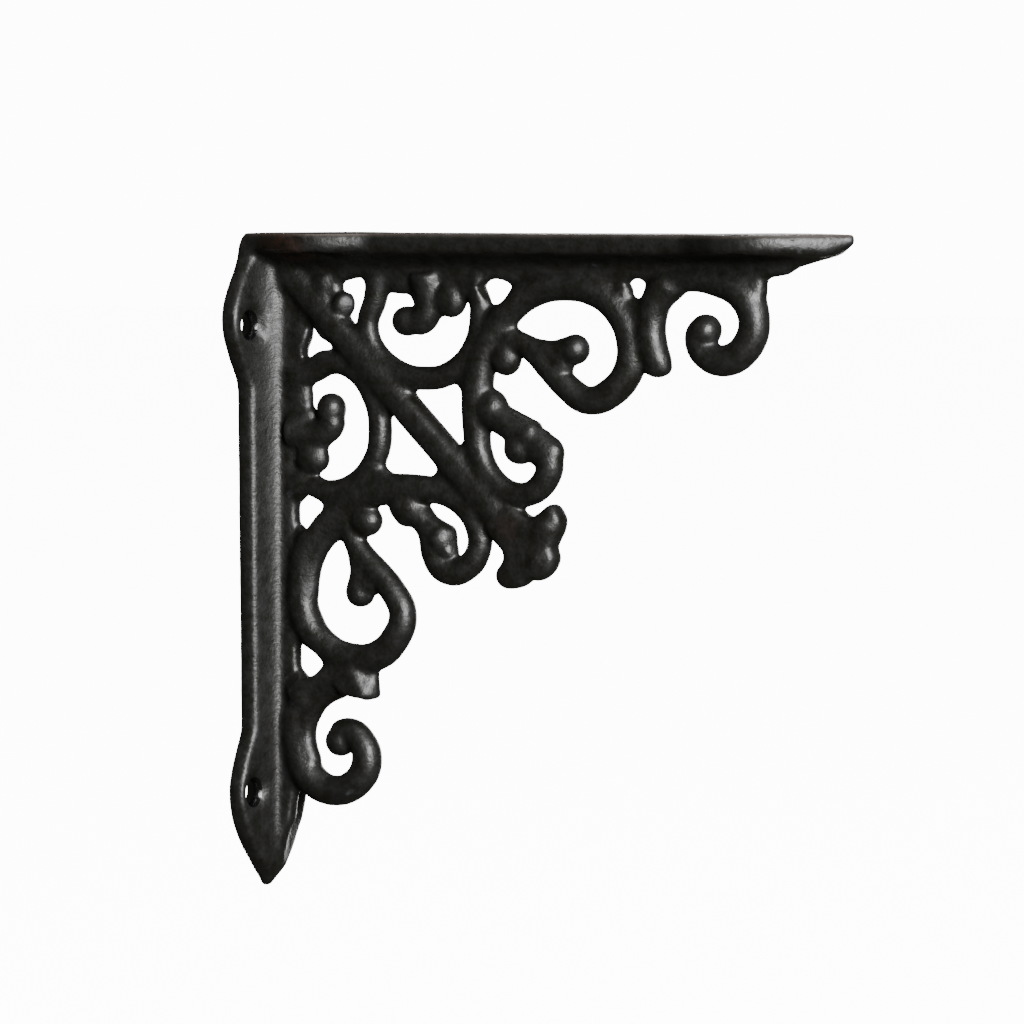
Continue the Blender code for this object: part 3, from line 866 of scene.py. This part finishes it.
    def painted_hole_shade(self, nodes: Nodes, place: Shade) -> Shade:
        """One on the walls of the screw holes, whose colour is darkened there as painted shade, else nothing.
        """
        plate = Plate()
        across = nodes.axis(place, "Y")
        aside = nodes.make("ShaderNodeMath", {"operation": "ABSOLUTE"}, {0: across})
        aside = aside - plate.hole_across * MM
        inside = 0.0
        for arm, axis in ((Arm.WALL, "Z"), (Arm.SHELF, "X")):
            for along in (plate.inner_hole_at, plate.outer_hole_at):
                middle = arm.place(along, 0.0)["XYZ".index(axis)]
                away = nodes.axis(place, axis) - middle
                near = 1.0 - (aside * aside + away * away > self.hole_reach**2)
                inside = near * self.in_plate(nodes, place, arm, plate.edge * MM) + inside
        return inside

    @staticmethod
    def in_plate(nodes: Nodes, place: Shade, arm: Arm, deep: float) -> Shade:
        """One within the thickness of one arm's plate, else nothing."""
        if arm is Arm.WALL:
            return 1.0 - (nodes.axis(place, "X") > deep)
        return nodes.axis(place, "Z") > SHELF_TOP * MM - deep


@dataclass
class Casting:
    """The whole bracket: every piece fused into one skin, with lengths in metres."""

    coarse_voxel: float = 0.00036
    voxel: float = 0.00028
    foot_fillet: float = 0.0006
    bud_fillet: float = 0.0004
    swell: float = 0.00028
    smoothing: int = 5
    melt_smoothing: int = 2
    smooth_factor: float = 0.5
    mould_sizes: dict[str, Span] = field(default_factory=lambda: {
        "mould_lumps": (0.0040, 0.00014), "mould_sand": (0.0012, 0.00006),
    })
    mould_detail: int = 2
    triangles: int = 190000

    def build(self) -> bpy.types.Object:
        """Model, fuse and roughen the bracket.

        Returns:
            The finished piece, which stands for the CAD node.
        """
        plate = Plate()
        web = Web()
        pieces = [plate.build(arm) for arm in Arm] + web.build_bar()
        for arm in Arm:
            pieces += web.build_scrolls(arm)
        logger.info("modelled %d plates, rails and scrolls", len(pieces))
        skin = Bench.join(pieces, "bracket_casting")
        self.melt(skin, self.foot_fillet)
        pieces = web.build_leaves()
        for arm in Arm:
            pieces += web.build_buds(arm)
        logger.info("modelled %d leaves, buds and beads", len(pieces))
        skin = Bench.join([skin, *pieces], "bracket_casting")
        self.melt(skin, self.bud_fillet)
        for arm in Arm:
            for cutter in web.build_gaps(arm):
                Bench.cut(skin, cutter)
        self.renew(skin, self.voxel)
        Bench.apply(skin, "SMOOTH", factor=self.smooth_factor, iterations=self.smoothing)
        Bench.apply(skin, "DISPLACE", strength=self.swell, mid_level=0.0)
        for name, (size, strength) in self.mould_sizes.items():
            self.roughen(skin, name, size, strength)
        count = sum(len(face.vertices) - 2 for face in skin.data.polygons)
        logger.info("skin has %d triangles before thinning", count)
        Bench.apply(skin, "DECIMATE", ratio=min(1.0, self.triangles / count))
        self.keep_inside(skin)
        Bench.pick(skin)
        bpy.ops.object.shade_smooth()
        skin.data.materials.clear()
        skin.data.materials.append(SandCastIron().make())
        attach(skin, "root")
        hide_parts("bracket")
        return skin

    @staticmethod
    def keep_inside(skin: bpy.types.Object) -> None:
        """Hold the skin within the box of the CAD node, so the flat faces stay where they bear."""
        low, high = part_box("bracket")
        for vertex in skin.data.vertices:
            for axis in range(3):
                vertex.co[axis] = min(max(vertex.co[axis], low[axis]), high[axis])

    def melt(self, skin: bpy.types.Object, fillet: float) -> None:
        """Fuse touching shapes into one skin and round every inner corner, as a mould does.

        Args:
            skin: The joined shapes.
            fillet: The radius of the inner corners, in metres.
        """
        self.renew(skin, self.coarse_voxel)
        Bench.apply(skin, "DISPLACE", strength=fillet, mid_level=0.0)
        self.renew(skin, self.coarse_voxel)
        Bench.apply(skin, "SMOOTH", factor=self.smooth_factor, iterations=self.melt_smoothing)
        Bench.apply(skin, "DISPLACE", strength=-fillet, mid_level=0.0)
        self.renew(skin, self.voxel)

    @staticmethod
    def renew(skin: bpy.types.Object, voxel: float) -> None:
        """Wrap everything in one new closed skin of the given fineness."""
        Bench.apply(skin, "REMESH", mode="VOXEL", voxel_size=voxel, use_smooth_shade=True)

    def roughen(self, skin: bpy.types.Object, name: str, size: float, strength: float) -> None:
        """Push the skin in and out by a soft cloud pattern, as sand leaves it."""
        clouds = bpy.data.textures.new(name, "CLOUDS")
        clouds.noise_scale = size
        clouds.noise_depth = self.mould_detail
        Bench.apply(skin, "DISPLACE", texture=clouds, texture_coords="LOCAL", strength=strength,
                    mid_level=0.5)


@dataclass(frozen=True)
class Lamp:
    """A soft square lamp, with its place and its side in metres and its power in watts."""

    place: Place
    side: float
    power: float


@dataclass
class Studio:
    """A pale floor, soft lights and the camera of the photograph.

    Angles are in degrees. The camera's distances, its shifts and the place that it looks at are
    in millimetres; what stands around the bracket is in metres.
    """

    azimuth: float = 28.84
    elevation: float = 4.2
    roll: float = -0.35
    distance: float = 879.9
    focal_pixels: float = 4931.9
    shift_right: float = 2.65
    shift_up: float = 0.34
    centre: Place = (50.0, 0.0, -50.0)
    clip_start: float = 0.01
    key: Lamp = Lamp((0.81, -0.57, 0.20), 0.45, 30.0)
    top: Lamp = Lamp((0.10, 0.10, 1.20), 0.80, 8.0)
    back: Lamp = Lamp((-0.20, 0.95, -0.05), 0.50, 7.0)
    aim: Place = (0.05, 0.0, -0.035)
    fill: float = 0.085
    fill_colour: Colour = (1.0, 0.98, 0.78, 1.0)
    backdrop: float = 13.0
    backdrop_colour: Colour = (1.0, 1.0, 1.0, 1.0)
    floor_level: float = -0.145
    floor_side: float = 8.0
    floor_colour: Colour = (0.86, 0.86, 0.87, 1.0)
    floor_roughness: float = 0.9
    sun_spread: float = 60.0

    def camera(self) -> None:
        """Set up the camera at the photograph's viewing angle."""
        azimuth, elevation, roll = map(math.radians, (self.azimuth, self.elevation, self.roll))
        flat = math.cos(elevation)
        back = Vector((math.sin(azimuth) * flat, -math.cos(azimuth) * flat, math.sin(elevation)))
        level = Vector((math.cos(azimuth), math.sin(azimuth), 0.0))
        upright = back.cross(level)
        right = level * math.cos(roll) + upright * math.sin(roll)
        up = upright * math.cos(roll) - level * math.sin(roll)
        place = Vector(self.centre) + back * self.distance
        place += level * self.shift_right
        place += upright * self.shift_up
        place.z += SHELF_TOP
        data = bpy.data.cameras.new("camera")
        data.sensor_width = SENSOR
        data.lens = self.focal_pixels / IMAGE_SIDE * SENSOR
        data.clip_start = self.clip_start
        camera = bpy.data.objects.new("camera", data)
        bpy.context.scene.collection.objects.link(camera)
        turn = Matrix((right, up, back)).transposed().to_4x4()
        camera.matrix_world = Matrix.Translation(place * MM) @ turn
        bpy.context.scene.camera = camera

    def hang(self, name: str, lamp: Lamp) -> bpy.types.Object:
        """Hang one lamp so that it faces the bracket."""
        data = bpy.data.lights.new(name, "AREA")
        data.size = lamp.side
        data.energy = lamp.power
        hung = bpy.data.objects.new(name, data)
        bpy.context.scene.collection.objects.link(hung)
        hung.location = lamp.place
        sight = Vector(self.aim) - Vector(lamp.place)
        hung.rotation_euler = sight.to_track_quat("-Z", "Y").to_euler()
        return hung

    @staticmethod
    def light_only(lamp: bpy.types.Object, lit_piece: bpy.types.Object) -> None:
        """Let a lamp light one piece alone."""
        lit = bpy.data.collections.new(f"lit_by_{lamp.name}")
        lit.objects.link(lit_piece)
        lamp.light_linking.receiver_collection = lit

    def light_back(self, skin: bpy.types.Object) -> None:
        """Hang a soft lamp behind the bracket that lights it alone and leaves the floor as it is."""
        self.light_only(self.hang("back", self.back), skin)

    def light_floor(self, floor: bpy.types.Object) -> None:
        """Hang a broad sun that lights the floor alone, as evenly as the sky behind it."""
        data = bpy.data.lights.new("floor_sun", "SUN")
        data.energy = self.backdrop * math.pi / self.floor_colour[0]
        data.angle = math.radians(self.sun_spread)
        sun = bpy.data.objects.new("floor_sun", data)
        bpy.context.scene.collection.objects.link(sun)
        self.light_only(sun, floor)

    def floor(self) -> None:
        """Lay the pale floor, which the bracket neither mirrors nor takes light from."""
        Bench.clear()
        bpy.ops.mesh.primitive_plane_add(size=self.floor_side, location=(0.0, 0.0, self.floor_level))
        floor = bpy.context.object
        floor.name = "floor"
        nodes = Nodes("pale_floor")
        nodes.feed(nodes.shader.inputs["Base Color"], self.floor_colour)
        nodes.feed(nodes.shader.inputs["Roughness"], self.floor_roughness)
        floor.data.materials.append(nodes.material)
        floor.visible_diffuse = False
        floor.visible_glossy = False
        self.light_floor(floor)

    def sky(self) -> None:
        """Set a dim sky that fills the shadows, which the camera sees as a bright backdrop."""
        world = bpy.data.worlds.new("studio")
        world.use_nodes = True
        tree = world.node_tree
        sky = tree.nodes["Background"]
        sky.inputs["Color"].default_value = self.fill_colour
        sky.inputs["Strength"].default_value = self.fill
        seen = tree.nodes.new("ShaderNodeBackground")
        seen.inputs["Color"].default_value = self.backdrop_colour
        seen.inputs["Strength"].default_value = self.backdrop
        path = tree.nodes.new("ShaderNodeLightPath")
        mix = tree.nodes.new("ShaderNodeMixShader")
        tree.links.new(path.outputs["Is Camera Ray"], mix.inputs[0])
        tree.links.new(sky.outputs[0], mix.inputs[1])
        tree.links.new(seen.outputs[0], mix.inputs[2])
        tree.links.new(mix.outputs[0], tree.nodes["World Output"].inputs["Surface"])
        bpy.context.scene.world = world

    def build(self) -> None:
        """Set the floor, the sky, the lamps and the camera."""
        self.floor()
        self.sky()
        self.hang("key", self.key)
        self.hang("top", self.top)
        self.camera()


def main() -> None:
    """Build the bracket and its studio in the fixed frame."""
    logging.basicConfig(level=logging.INFO)
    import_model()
    studio = Studio()
    studio.build()
    skin = Casting().build()
    studio.light_back(skin)
    logger.info("%s has %d faces", skin.name, len(skin.data.polygons))


if __name__ == "__main__":
    main()
